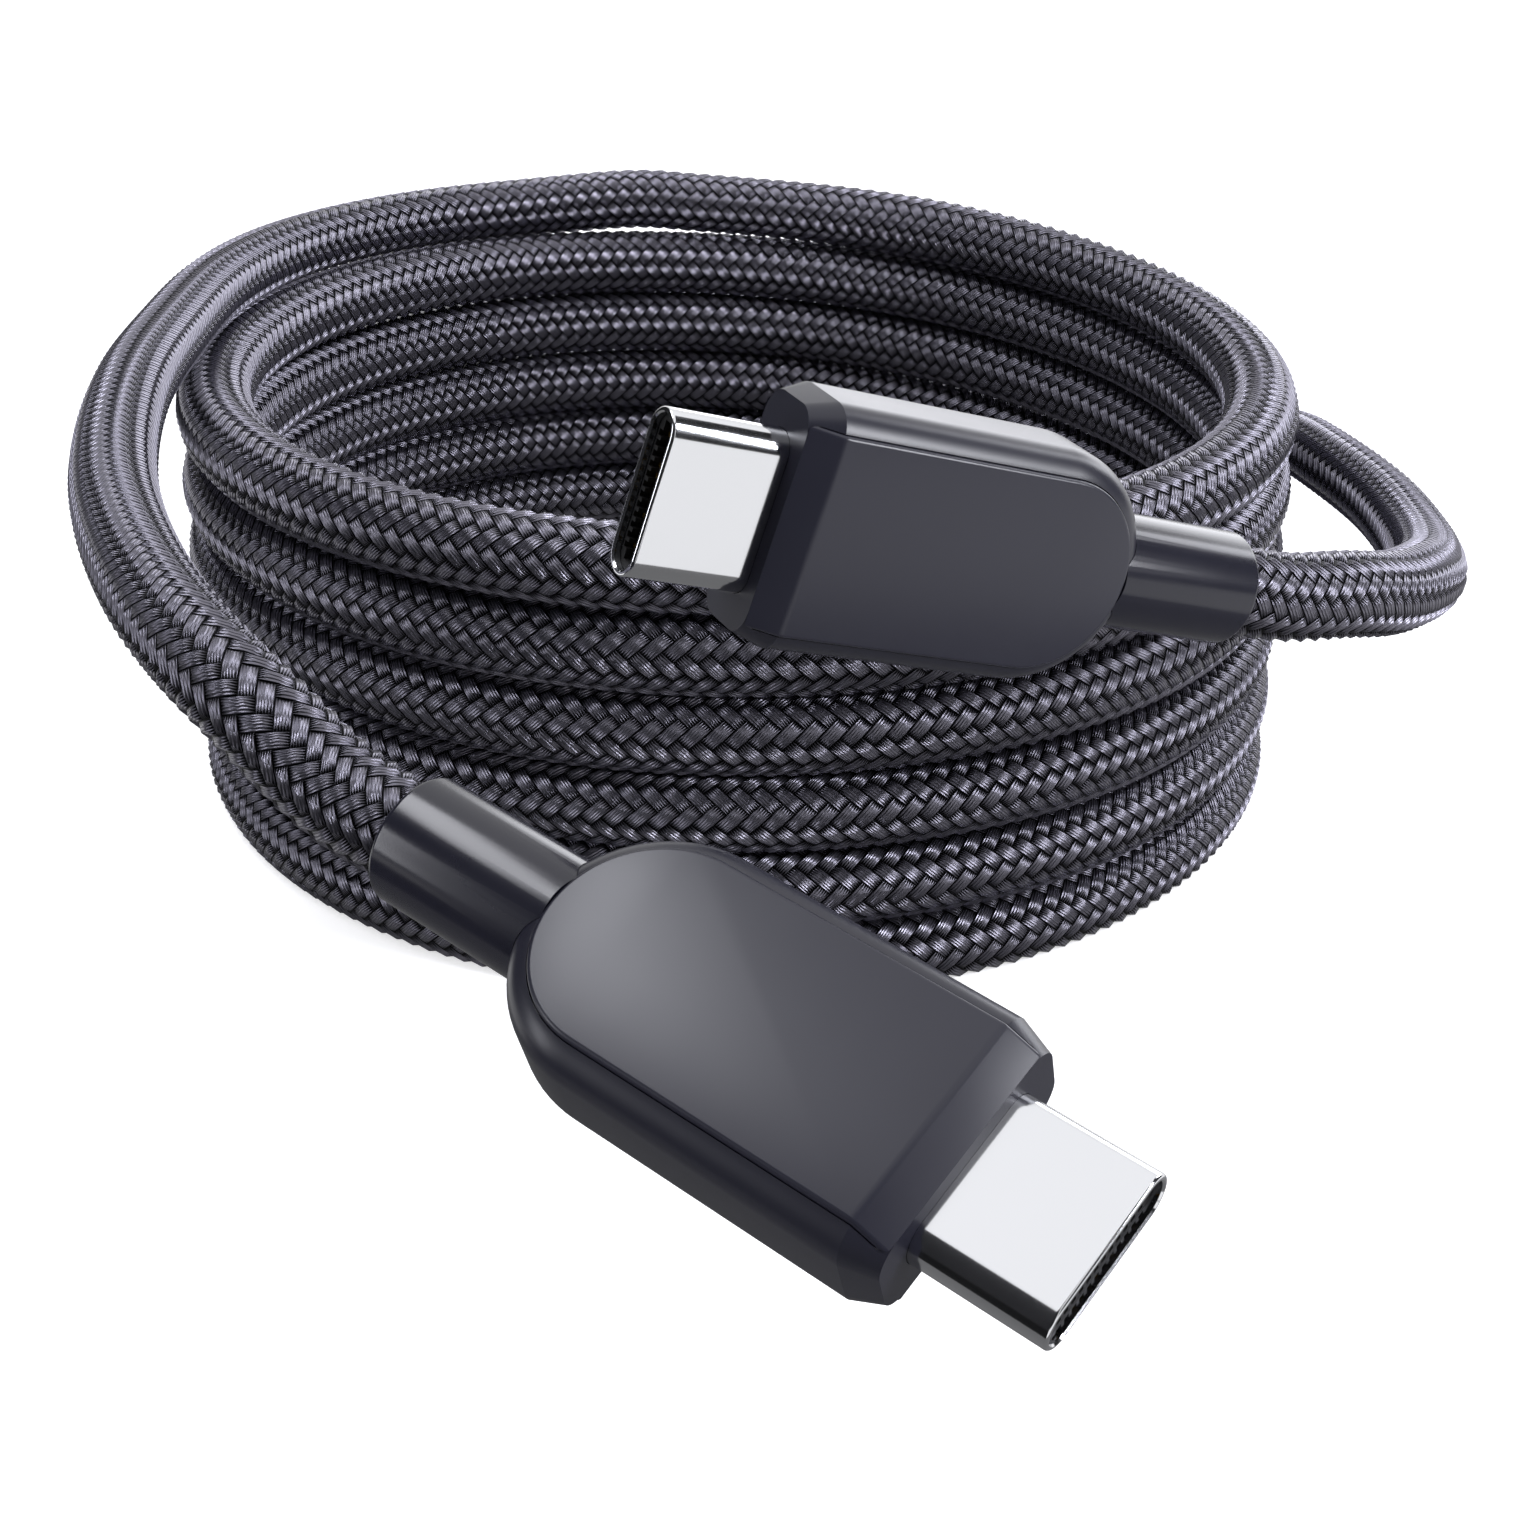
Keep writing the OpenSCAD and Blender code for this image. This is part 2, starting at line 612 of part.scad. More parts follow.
at_rear() conductors();  // rear_conductors

cable_coil();
front_cable_run();
rear_cable_run();
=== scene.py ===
"""Looks of a braided charging cable: the woven cord, the moulded plugs and their steel shells."""

import math

import bmesh
import bpy
from mathutils import Euler, Matrix, Vector


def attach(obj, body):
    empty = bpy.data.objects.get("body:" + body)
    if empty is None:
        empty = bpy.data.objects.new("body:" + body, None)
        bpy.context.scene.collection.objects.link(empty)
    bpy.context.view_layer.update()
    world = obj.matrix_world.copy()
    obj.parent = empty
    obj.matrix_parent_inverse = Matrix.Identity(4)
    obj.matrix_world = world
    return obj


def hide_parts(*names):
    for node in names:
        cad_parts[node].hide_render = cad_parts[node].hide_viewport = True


bl_info = {
    "name": "Braided charging cable",
    "version": (1, 0, 0),
    "blender": (4, 5, 0),
    "location": "3D View > Sidebar > Cable",
    "description": "Dresses a coiled charging cable with its woven cord, moulded plugs and steel shells",
    "category": "Object",
}

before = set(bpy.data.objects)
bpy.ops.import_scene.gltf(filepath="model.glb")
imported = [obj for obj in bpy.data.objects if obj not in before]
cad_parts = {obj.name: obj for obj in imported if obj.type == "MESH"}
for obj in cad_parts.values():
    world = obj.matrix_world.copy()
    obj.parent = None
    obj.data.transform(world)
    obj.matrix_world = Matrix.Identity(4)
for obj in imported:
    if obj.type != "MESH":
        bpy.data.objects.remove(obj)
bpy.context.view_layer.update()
MM = 0.001
TINY = 1e-7  # points closer than this count as one
WHITE = (1, 1, 1, 1)

# ---- Where things lie, in millimetres: the same points as the CAD model's ----

COIL_AT = Vector((-3.2, 27.12, 0))
PLUGS = {
    "front": ((10.5, -95, 24.8), (26.8, 9.9, -36.9)),
    "rear": ((1.8, -64.1, 40.5), (-94, -17.2, -151.3)),
}
FRONT_ROUTE = [
    (-21, -71.5, 33.5), (-25.5, -65.5, 34.5), (-30, -56, 34.5), (-34.5, -42.5, 34),
    (-37.5, -26.5, 34), (-39, -9.5, 33), (-39, 7.5, 32.4), (-35.5, 21.5, 31.8),
    (-28, 31.5, 31.6), (-18, 37.5, 31.6),
]
REAR_ROUTE = [
    (34.5, -45.5, 29.5), (38, -41.5, 28), (41.5, -35.5, 26.5), (44, -28, 24.5),
    (45.5, -19.5, 23), (45.5, -10, 22.5), (44, 0, 22), (43, 10, 20.5), (40, 19.5, 18),
    (35, 27, 15), (28.5, 34.5, 12), (20, 40.5, 9), (10.5, 44, 6.5), (0, 45, 4.5),
    (-11, 43, 3), (-20.5, 38, 2.4), (-27.5, 31.5, 2.4),
]
COIL_RX, COIL_RY, COIL_PITCH, COIL_LOW = 37.5, 39.4, 5.2, 1.9
COIL_END, COIL_STEP = 2090, 2  # where the last turn ends and how far apart points are, in degrees
DROP_START, DROP_SPAN, COIL_DROPS = -75, 200, 6  # where turns step down, in degrees, and how often

# ---- The cord's line, in metres ----

LINE_STEP = 0.001  # between the points of the centreline
SOFTENINGS = 6  # passes that take the last corners out of the centreline
PITCH_REACH = 0.16  # from a plug to where the weave has its pitch of the coil
WOUND_FROM, WOUND_OVER = 0.15, 0.02  # from a plug to where the cord thickens, and over how much
BORE_STEPS = 3  # points of the centreline over which the cord grows out of the relief's bore

# ---- Fixed sizes of the plugs, in millimetres ----

COVER_THICK, BEVEL_LENGTH = 0.93, 1.55  # the nose bevel is as deep as the cover is thick
COVER_PROUD = 0.18  # how far a cover stands above the frame
SIDE_WALL, SIDE_ROUND = 1.15, 1.6  # the frame beside a cover, and the radius of its edges
NOSE_INSET, NOSE_DROP = 0.5, 0.95  # from the frame's sides and the covers to the nose's flat face
SEAT_GAP, SEAT_RIM = 0.05, 0.35  # round a cover, and the width of the rim under it
SEAT_REACH, HOLLOW_REACH = 6, 5  # half the height of the cutters, past the outside of the plug
FRONT_WALL, FRAME_EDGE = 1.2, 0.1
MOUTH_WIDTH, MOUTH_HEIGHT, MOUTH_DEPTH = 8.29, 2.44, 3
SHELL_WIDTH, SHELL_HEIGHT, SHELL_WALL = 8.25, 2.4, 0.3
SHELL_SHOWS, SHELL_ROOT = 6.25, 5.9  # its length before and behind the nose's face
LIP_OUTER, LIP_INNER = 0.16, 0.08
RELIEF_BORE, RELIEF_RIM = 2.39, 0.3  # radii
RELIEF_ROOT, RELIEF_GAP = 18, 0.02  # how far behind the nose it starts, and its gap to the frame
CORNER_STEPS, REAR_STEPS, RIM_STEPS, LIP_STEPS = 12, 40, 10, 6  # flats in each rounding
RIM_ANGLE, SOFT_ANGLE = 20, 38  # degrees past which an edge of a cover, or of the frame, is bevelled
DRAWN_SHARP, FRAME_SHARP = 30, 14  # degrees past which an edge is drawn sharp

# ---- Finishes ----

WEAVE_REPEAT, FLOAT_SQUARE = 4, 6  # in columns; the power that rounds a float's two edges
RIDGE_DEPTH, PAINTED_GROOVE_SHADE = 0.3, 0.22  # of the filaments' bump, and of the painted shade in the grooves between them, against the height of a float
FILAMENT_SCALE, FILAMENT_UNEVEN = 1.3, 0.12  # of the noise that sets filaments apart
WEAVE_DEPTH = 0.00014  # metres
PAINTED_SHADE_AT, YARN_AT = 0.18, 0.7  # heights on a float where the painted shade of its dark ends gives way to the yarn's colour on its back
PLASTIC_PATCHES, METAL_CLOUDS = 180.0, 900.0  # per metre: patches of 5.6 mm, clouds of 1.1 mm
PATCH_TINTS, PATCH_ROUGH = (0.93, 1.07), 0.03
CLOUD_ROUGH = (0.8, 1.2)
SKINS = {  # share of the housing's colour, roughness, and the grain's size and depth in metres
    # the roughness keeps clear of 0.27, where the denoiser leaves contour lines on flat faces
    "moulded_cover_plastic": (1, 0.31, 0.00012, 0.000002),
    "moulded_frame_plastic": (0.85, 0.32, 0.0001, 0.000001),
    "moulded_relief_rubber": (0.7, 0.2, 0.0001, 0.000003),
}

# ---- The stage, in metres ----

FLOOR_HALF, FLOOR_DROP, FLOOR_GLOW = 3, 0.00002, 0.58
TENT_LIGHT, TENT_SEEN = 0.45, 1.0  # the white tent's strength on matt surfaces, and where it shows
CLOTH = "#101012"
SCREENS = [  # name, distance, start and sweep in degrees clockwise from the right, low and high end
    ("front_screen", 0.24, 62, 91, -0.02, 0.4), ("low_screen", 0.24, 85, 95, -0.4, -0.02),
    ("right_screen", 0.75, -35, 80, -0.05, 1.1), ("left_screen", 0.75, 153, 87, -0.05, 1.1),
]
CARD_AT, CARD_RADIUS, CARD_GLOW = (0, -0.01, -0.03), 0.115, 0.15
LAMP_COLOUR, LAMPS_AIM = (0.93, 0.94, 1.0), (0, 0, 0.02)
LAMPS = [  # name, place, width, height and watts
    ("top_box", (-0.03, 0.0, 0.55), 1.1, 0.9, 0.25),
    ("crown_box", (-0.22, 0.06, 0.5), 0.3, 0.14, 1.1),
    ("back_strip", (0.25, 0.43, 0.15), 0.5, 0.2, 0.9),
    ("right_strip", (0.45, -0.19, 0.25), 0.1, 0.3, 2.6),
    ("left_strip", (-0.45, -0.15, 0.14), 0.12, 0.25, 0.6),
    ("rim_strip", (0.45, 0.26, 0.3), 0.12, 0.25, 0.6),
]


def linear(code):
    """A colour written as an sRGB hex value, turned to linear RGBA."""
    parts = [int(code[k:k + 2], 16) / 255 for k in (1, 3, 5)]
    return [c / 12.92 if c <= 0.04045 else ((c + 0.055) / 1.055) ** 2.4 for c in parts] + [1]


# ---- Properties ----

class BraidSizes(bpy.types.PropertyGroup):
    """Sizes and colours of the woven cord"""

    nominal: bpy.props.FloatProperty(
        name="Nominal thickness", description="Diameter that the reliefs grip",
        default=0.00475, unit="LENGTH", precision=5)
    wound: bpy.props.FloatProperty(
        name="Thickness in the coil", description="Over the floats, where turns lie on turns",
        default=0.00536, unit="LENGTH", precision=5)
    free: bpy.props.FloatProperty(
        name="Thickness of the runs", description="Over the floats, between coil and plugs",
        default=0.00498, unit="LENGTH", precision=5)
    columns: bpy.props.IntProperty(
        name="Columns", description="Columns of floats round the cord, a multiple of 4",
        default=12)
    relief: bpy.props.FloatProperty(
        name="Float height", description="How far a float's back stands over its corners",
        default=0.00024, unit="LENGTH", precision=5)
    pitch_loose: bpy.props.FloatProperty(
        name="Pitch at the plugs", description="Step from one float to the next near a plug",
        default=0.00108, unit="LENGTH", precision=5)
    pitch_wound: bpy.props.FloatProperty(
        name="Pitch in the coil", description="Step from one float to the next in the coil",
        default=0.0013, unit="LENGTH", precision=5)
    filaments: bpy.props.IntProperty(
        name="Filaments", description="Filaments that show on each float", default=6)
    yarn: bpy.props.FloatVectorProperty(
        name="Yarn", description="Colour of the nylon yarn on a float's back", subtype="COLOR",
        default=linear("#8b8995")[:3])
    # painted shade: the yarn where it goes under is the same nylon, drawn in this dark colour for the
    # shade that falls there
    painted_dive_shade: bpy.props.FloatVectorProperty(
        name="Dives", description="Colour of the yarn where it goes under", subtype="COLOR",
        default=linear("#09090b")[:3])


class PlugSizes(bpy.types.PropertyGroup):
    """Sizes and colours of the moulded plugs"""

    cover_width: bpy.props.FloatProperty(
        name="Cover width", description="Width of the flat cover",
        default=0.0101, unit="LENGTH", precision=5)
    cover_length: bpy.props.FloatProperty(
        name="Cover length", description="From the nose to the cover's round rear",
        default=0.0205, unit="LENGTH", precision=5)
    thickness: bpy.props.FloatProperty(
        name="Thickness", description="Across the two covers",
        default=0.00607, unit="LENGTH", precision=5)
    edge: bpy.props.FloatProperty(
        name="Cover edge", description="Radius of the cover's soft edge",
        default=0.0002, unit="LENGTH", precision=5)
    relief: bpy.props.FloatProperty(
        name="Relief", description="Diameter of the strain relief",
        default=0.00608, unit="LENGTH", precision=5)
    relief_length: bpy.props.FloatProperty(
        name="Relief length", description="Length behind the cover's round rear",
        default=0.0091, unit="LENGTH", precision=5)
    housing: bpy.props.FloatVectorProperty(
        name="Housing", description="Colour of the moulded housing", subtype="COLOR",
        default=linear("#24242f")[:3])


class StageSizes(bpy.types.PropertyGroup):
    """Camera and light"""

    lens: bpy.props.FloatProperty(
        name="Lens", description="Focal length on a 36 mm square", default=56.54)
    elevation: bpy.props.FloatProperty(
        name="Elevation", description="Camera's angle above the horizon",
        default=math.radians(25.76), subtype="ANGLE")
    roll: bpy.props.FloatProperty(
        name="Roll", description="Camera's turn about its own axis",
        default=math.radians(0.911), subtype="ANGLE")
    distance: bpy.props.FloatProperty(
        name="Distance", description="From the camera to the point it looks at",
        default=0.19009, unit="LENGTH", precision=5)
    look_at: bpy.props.FloatVectorProperty(
        name="Look at", description="Point in the middle of the picture", subtype="XYZ",
        default=(-0.00066, 0.02712, -0.00381), precision=5)
    floor: bpy.props.FloatVectorProperty(
        name="Floor", description="Colour of the floor", subtype="COLOR",
        default=linear("#e8e8ea")[:3])


# ---- Small tools ----

def material(name):
    """A new material, its node tree and its shader."""
    mat = bpy.data.materials.new(name)
    mat.use_nodes = True
    return mat, mat.node_tree, mat.node_tree.nodes["Principled BSDF"]


def add(tree, kind, feeds=(), **settings):
    """Adds a node, sets it, and feeds its inputs in order with sockets or plain values."""
    node = tree.nodes.new(kind)
    for key, value in settings.items():
        setattr(node, key, value)
    named = feeds.items() if isinstance(feeds, dict) else enumerate(feeds)
    for key, value in named:
        if isinstance(value, bpy.types.NodeSocket):
            tree.links.new(value, node.inputs[key])
        elif value is not None:
            node.inputs[key].default_value = value
    return node


def background_rays(tree):
    """1 for the rays that show the white background: straight, mirrored or through glass."""
    ray = add(tree, "ShaderNodeLightPath")
    seen = add(tree, "ShaderNodeMath",
               [ray.outputs["Is Camera Ray"], ray.outputs["Is Transmission Ray"]],
               operation="MAXIMUM")
    return add(tree, "ShaderNodeMath", [seen.outputs[0], ray.outputs["Is Glossy Ray"]],
               operation="MAXIMUM").outputs[0]


def to_object(bm, name, *materials):
    """Makes a bmesh an object of the scene, and frees it."""
    mesh = bpy.data.meshes.new(name)
    bm.to_mesh(mesh)
    bm.free()
    for mat in materials:
        mesh.materials.append(mat)
    obj = bpy.data.objects.new(name, mesh)
    bpy.context.scene.collection.objects.link(obj)
    return obj


def verts_in(geom):
    return [v for v in geom if isinstance(v, bmesh.types.BMVert)]


def edges_in(geom):
    return [e for e in geom if isinstance(e, bmesh.types.BMEdge)]


def finish_piece(bm, name, mat, nodes, place=None, sharp=DRAWN_SHARP):
    """Makes a bmesh an object in its place, smooth but for its sharp edges, riding on the root."""
    if place is not None:
        bmesh.ops.transform(bm, matrix=place, verts=bm.verts)
    for face in bm.faces:
        face.smooth = True
    if sharp is not None:
        for edge in bm.edges:
            edge.smooth = not edge.is_manifold or edge.calc_face_angle(0) < math.radians(sharp)
    piece = to_object(bm, name, mat)
    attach(piece, "root")
    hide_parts(*nodes)
    return piece


def dark_screen(name, radius, start, sweep, low, high, cloth):
    """A curved dark cloth beside the cable: reflections show it as the dark between the lamps."""
    bm = bmesh.new()
    foot = [bm.verts.new((radius, 0, z)) for z in (low, high)]
    bmesh.ops.rotate(bm, cent=(0, 0, 0), verts=foot,
                     matrix=Matrix.Rotation(-math.radians(start), 3, "Z"))
    bmesh.ops.spin(bm, geom=[*foot, bm.edges.new(foot)], cent=(0, 0, 0), axis=(0, 0, 1),
                   angle=-math.radians(sweep), steps=24, use_merge=False)
    only_mirrored(bm, name, cloth)


def only_mirrored(bm, name, mat):
    """Makes a bmesh a stage object that shows in reflections alone."""
    screen = to_object(bm, name, mat)
    for kind in ("camera", "diffuse", "shadow", "transmission"):
        setattr(screen, f"visible_{kind}", False)


def plug_turn(end):
    return Euler([math.radians(a) for a in PLUGS[end][1]]).to_matrix()


def plug_place(end):
    """Brings a piece from a plug's own frame to its place in the part, in metres."""
    return Matrix.Translation((COIL_AT + Vector(PLUGS[end][0])) * MM) @ plug_turn(end).to_4x4()


# ---- The cord's way ----

def ease(s):
    """From 0 to 1 without a corner at either end."""
    return 0 if s <= 0 else 1 if s >= 1 else (1 - math.cos(math.pi * s)) / 2


def coil_point(a):
    """A point of the coil's centreline; angle a runs clockwise from the back, in degrees."""
    down = sum(ease((a - 360 * k - DROP_START) / DROP_SPAN) for k in range(COIL_DROPS))
    r = math.radians(a)
    return Vector((COIL_RX * math.sin(r), COIL_RY * math.cos(r),
                   COIL_LOW + COIL_PITCH * (COIL_DROPS - down)))


def through(points, steps=8):
    """A smooth line through points: centripetal Catmull-Rom."""
    p = [2 * points[0] - points[1], *points, 2 * points[-1] - points[-2]]
    line = []
    for k in range(1, len(p) - 2):
        a, b, c, d = p[k - 1:k + 3]
        t = [0]
        for u, v in ((a, b), (b, c), (c, d)):
            t.append(t[-1] + math.sqrt((v - u).length))
        for n in range(steps):
            s = t[1] + (t[2] - t[1]) * n / steps
            ab = (a * (t[1] - s) + b * (s - t[0])) / (t[1] - t[0])
            bc = (b * (t[2] - s) + c * (s - t[1])) / (t[2] - t[1])
            cd = (c * (t[3] - s) + d * (s - t[2])) / (t[3] - t[2])
            abc = (ab * (t[2] - s) + bc * (s - t[0])) / (t[2] - t[0])
            bcd = (bc * (t[3] - s) + cd * (s - t[1])) / (t[3] - t[1])
            line.append((abc * (t[2] - s) + bcd * (s - t[1])) / (t[2] - t[1]))
    return line


def cord_line(sizes, plug):
    """Centreline from the front relief to the rear one, in metres, at even steps."""
    d = sizes.nominal / MM
    relief_end = -(plug.cover_length + plug.relief_length) / MM

    def outlet(end, out):
        return Vector(PLUGS[end][0]) + plug_turn(end) @ Vector((relief_end - out, 0, 0))

    def onwards(a):
        return (coil_point(a + 1) - coil_point(a - 1)).normalized()

    start, end = coil_point(0), coil_point(COIL_END)
    front = through([outlet("front", 0), outlet("front", d), *map(Vector, FRONT_ROUTE),
                     start - 2 * d * onwards(0), start - d * onwards(0), start])
    turns = [coil_point(a) for a in range(0, COIL_END + 1, COIL_STEP)]
    rear = through([end, end + d * onwards(COIL_END), end + 2 * d * onwards(COIL_END),
                    *map(Vector, reversed(REAR_ROUTE)), outlet("rear", d), outlet("rear", 0)])
    line = [*front, *turns, *rear[1:], outlet("rear", 0)]
    for _ in range(SOFTENINGS):  # the straight ends stay as they are
        line = [line[0], line[1], *[(line[k - 1] + 2 * line[k] + line[k + 1]) / 4
                                    for k in range(2, len(line) - 2)], line[-2], line[-1]]
    return even_steps([(p + COIL_AT) * MM for p in line], LINE_STEP)


def even_steps(line, step):
    """The same line with its points about one step apart."""
    far = [0]
    for a, b in zip(line, line[1:]):
        far.append(far[-1] + (b - a).length)
    count = round(far[-1] / step)
    out, k = [], 0
    for n in range(count + 1):
        s = far[-1] * n / count
        while k < len(line) - 2 and far[k + 1] < s:
            k += 1
        out.append(line[k].lerp(line[k + 1], (s - far[k]) / (far[k + 1] - far[k])))
    return out


def woven_tube(line, sizes):
    """A tube with every float of the braid raised on it: each float has two high points and
    six low corners. Its map counts columns round it and floats along it."""
    last = len(line) - 1
    ways = [(line[min(k + 1, last)] - line[max(k - 1, 0)]).normalized() for k in range(last + 1)]
    counts = [0]
    for k in range(last):
        away = ease(min(k, last - k) * LINE_STEP / PITCH_REACH)
        pitch = sizes.pitch_loose + (sizes.pitch_wound - sizes.pitch_loose) * away
        counts.append(counts[-1] + (line[k + 1] - line[k]).length / pitch)
    rings, sides = round(2 * counts[-1]), 2 * sizes.columns
    side = ways[0].cross(Vector((0, 0, 1))).normalized()

    bm = bmesh.new()
    uv = bm.loops.layers.uv.new("braid")
    rows, k = [], 0
    for m in range(rings + 1):
        far = counts[-1] * m / rings
        while k < last - 1 and counts[k + 1] < far:
            k += 1
        part = (far - counts[k]) / (counts[k + 1] - counts[k])
        at, way = line[k].lerp(line[k + 1], part), ways[k].lerp(ways[k + 1], part).normalized()
        side = (side - way * side.dot(way)).normalized()
        up = way.cross(side)
        grown = ease(min(k, last - k) / BORE_STEPS)
        wound = ease((min(k, last - k) * LINE_STEP - WOUND_FROM) / WOUND_OVER)
        over = sizes.free + (sizes.wound - sizes.free) * wound
        over = sizes.nominal + (over - sizes.nominal) * grown
        row = []
        for n in range(sides):
            a = 2 * math.pi * n / sides
            radius = over / 2 - (0 if (n + m) % 2 else sizes.relief)
            p = at + radius * (math.cos(a) * side + math.sin(a) * up)
            row.append(bm.verts.new((p.x, p.y, max(p.z, 0))))
        rows.append(row)

    for m in range(rings):
        for n in range(sides):
            spots = [(n, m), (n + 1, m), (n + 1, m + 1), (n, m + 1)]
            if (n + m) % 2:
                spots = spots[1:] + spots[:1]
            # the low corners are now first and third: the line between them parts two floats,
            # but for every fourth square, where it would cross the middle of one
            parts = n % 4 != (0 if (n + m) % 2 else 2)
            cut = spots if parts else spots[1:] + spots[:1]
            corners = [rows[v][u % sides] for u, v in cut]
            for pick in ((0, 1, 2), (0, 2, 3)):
                face = bm.faces.new([corners[c] for c in pick])
                for loop, c in zip(face.loops, pick):
                    u, v = cut[c]
                    loop[uv].uv = (u / 2, v / 2)
            if parts:
                bm.edges.get((corners[0], corners[2])).smooth = False
    for cap in (list(reversed(rows[0])), rows[-1]):
        bm.faces.new(cap)
    return bm


# ---- Materials ----

def braided_nylon(sizes):
    """Braided nylon multifilament, two over and two under: each float is a flat bundle of
    glossy filaments, so its shine runs across them and flips from column to column."""
    mat, tree, shader = material("braided_nylon")
    uv = add(tree, "ShaderNodeUVMap", uv_map="braid")
    xyz = add(tree, "ShaderNodeSeparateXYZ", [uv.outputs[0]])
    x, y = xyz.outputs[0], xyz.outputs[1]

    p = add(tree, "ShaderNodeMath", [y, x], operation="SUBTRACT").outputs[0]
    q = add(tree, "ShaderNodeMath", [y, x], operation="ADD").outputs[0]
    i = add(tree, "ShaderNodeMath", [p], operation="FLOOR").outputs[0]
    j = add(tree, "ShaderNodeMath", [q], operation="FLOOR").outputs[0]
    d = add(tree, "ShaderNodeMath", [j, i], operation="SUBTRACT").outputs[0]
    m = add(tree, "ShaderNodeMath", [d, WEAVE_REPEAT], operation="FLOORED_MODULO").outputs[0]
    over = add(tree, "ShaderNodeMath", [m, 1.5], operation="LESS_THAN").outputs[0]

    # where a point lies across its float, 0 to 1, and along it, 0 to 2
    across_s = add(tree, "ShaderNodeMath", [p, i], operation="SUBTRACT").outputs[0]
    across_z = add(tree, "ShaderNodeMath", [q, j], operation="SUBTRACT").outputs[0]
    run_s = add(tree, "ShaderNodeMath", [q, i], operation="SUBTRACT").outputs[0]
    along_s = add(tree, "ShaderNodeMath", [run_s, WEAVE_REPEAT],
                  operation="FLOORED_MODULO").outputs[0]
    run_z = add(tree, "ShaderNodeMath", [j, p], operation="SUBTRACT").outputs[0]
    turn_z = add(tree, "ShaderNodeMath", [run_z, WEAVE_REPEAT],
                 operation="FLOORED_MODULO").outputs[0]
    along_z = add(tree, "ShaderNodeMath", [turn_z, 1], operation="SUBTRACT").outputs[0]
    across = add(tree, "ShaderNodeMix", [over, None, across_z, across_s]).outputs[0]
    along = add(tree, "ShaderNodeMix", [over, None, along_z, along_s]).outputs[0]

    # each float arches along its length and is rounded at its two edges
    a1 = add(tree, "ShaderNodeMath", [along, 1], operation="SUBTRACT").outputs[0]
    a2 = add(tree, "ShaderNodeMath", [a1, a1], operation="MULTIPLY").outputs[0]
    arch = add(tree, "ShaderNodeMath", [1, a2], operation="SUBTRACT").outputs[0]
    c1 = add(tree, "ShaderNodeMath", [across, 2, -1], operation="MULTIPLY_ADD").outputs[0]
    c2 = add(tree, "ShaderNodeMath", [c1, FLOAT_SQUARE], operation="POWER").outputs[0]
    crown = add(tree, "ShaderNodeMath", [1, c2], operation="SUBTRACT").outputs[0]
    body = add(tree, "ShaderNodeMath", [arch, crown], operation="MULTIPLY").outputs[0]

    # the filaments run along the float: a ridge each, and no two quite alike
    turns = add(tree, "ShaderNodeMath", [across, 2 * math.pi * sizes.filaments],
                operation="MULTIPLY").outputs[0]
    wave = add(tree, "ShaderNodeMath", [turns], operation="COSINE").outputs[0]
    strand = add(tree, "ShaderNodeMath", [across, sizes.filaments], operation="MULTIPLY").outputs[0]
    lane = add(tree, "ShaderNodeMix", [over, None, j, i]).outputs[0]
    where = add(tree, "ShaderNodeCombineXYZ", [strand, lane, along]).outputs[0]
    uneven = add(tree, "ShaderNodeTexNoise",
                 {"Vector": where, "Scale": FILAMENT_SCALE, "Detail": 2.0})
    ridge = add(tree, "ShaderNodeMath", [wave, -RIDGE_DEPTH, body],
                operation="MULTIPLY_ADD").outputs[0]
    height = add(tree, "ShaderNodeMath", [uneven.outputs[0], FILAMENT_UNEVEN, ridge],
                 operation="MULTIPLY_ADD").outputs[0]
    bump = add(tree, "ShaderNodeBump",
               {"Strength": 1.0, "Distance": WEAVE_DEPTH, "Height": height})

    # painted shade: dark where a float dives under its neighbours and in the grooves between its
    # filaments, the yarn's own colour on its back
    painted_shade_height = add(tree, "ShaderNodeMath", [wave, -PAINTED_GROOVE_SHADE, body],
               operation="MULTIPLY_ADD").outputs[0]
    painted_shade_tone = add(tree, "ShaderNodeValToRGB", [painted_shade_height])
    painted_shade_tone.color_ramp.elements[0].color = [*sizes.painted_dive_shade, 1]
    painted_shade_tone.color_ramp.elements[0].position = PAINTED_SHADE_AT
    painted_shade_tone.color_ramp.elements[1].color = [*sizes.yarn, 1]
    painted_shade_tone.color_ramp.elements[1].position = YARN_AT

    # the filaments' direction, which the shine runs across: it leans one way or the other
    tangent = add(tree, "ShaderNodeTangent", direction_type="UV_MAP", uv_map="braid")
    surface = add(tree, "ShaderNodeNewGeometry")
    along_cord = add(tree, "ShaderNodeVectorMath", [surface.outputs["Normal"], tangent.outputs[0]],
                     operation="CROSS_PRODUCT").outputs[0]
    flip = add(tree, "ShaderNodeMath", [over, -2, 1], operation="MULTIPLY_ADD").outputs[0]
    sideways = add(tree, "ShaderNodeVectorMath", {0: tangent.outputs[0], "Scale": flip},
                   operation="SCALE").outputs[0]
    grain = add(tree, "ShaderNodeVectorMath", [along_cord, sideways], operation="ADD").outputs[0]
    lay = add(tree, "ShaderNodeVectorMath", [grain], operation="NORMALIZE").outputs[0]

    tree.links.new(painted_shade_tone.outputs[0], shader.inputs["Base Color"])
    tree.links.new(bump.outputs[0], shader.inputs["Normal"])
    tree.links.new(lay, shader.inputs["Tangent"])
    shader.inputs["Metallic"].default_value = 0.95  # drawn nylon shines in its own colour
    shader.inputs["Roughness"].default_value = 0.38
    shader.inputs["Anisotropic"].default_value = 0.92
    shader.inputs["IOR"].default_value = 1.53
    return mat


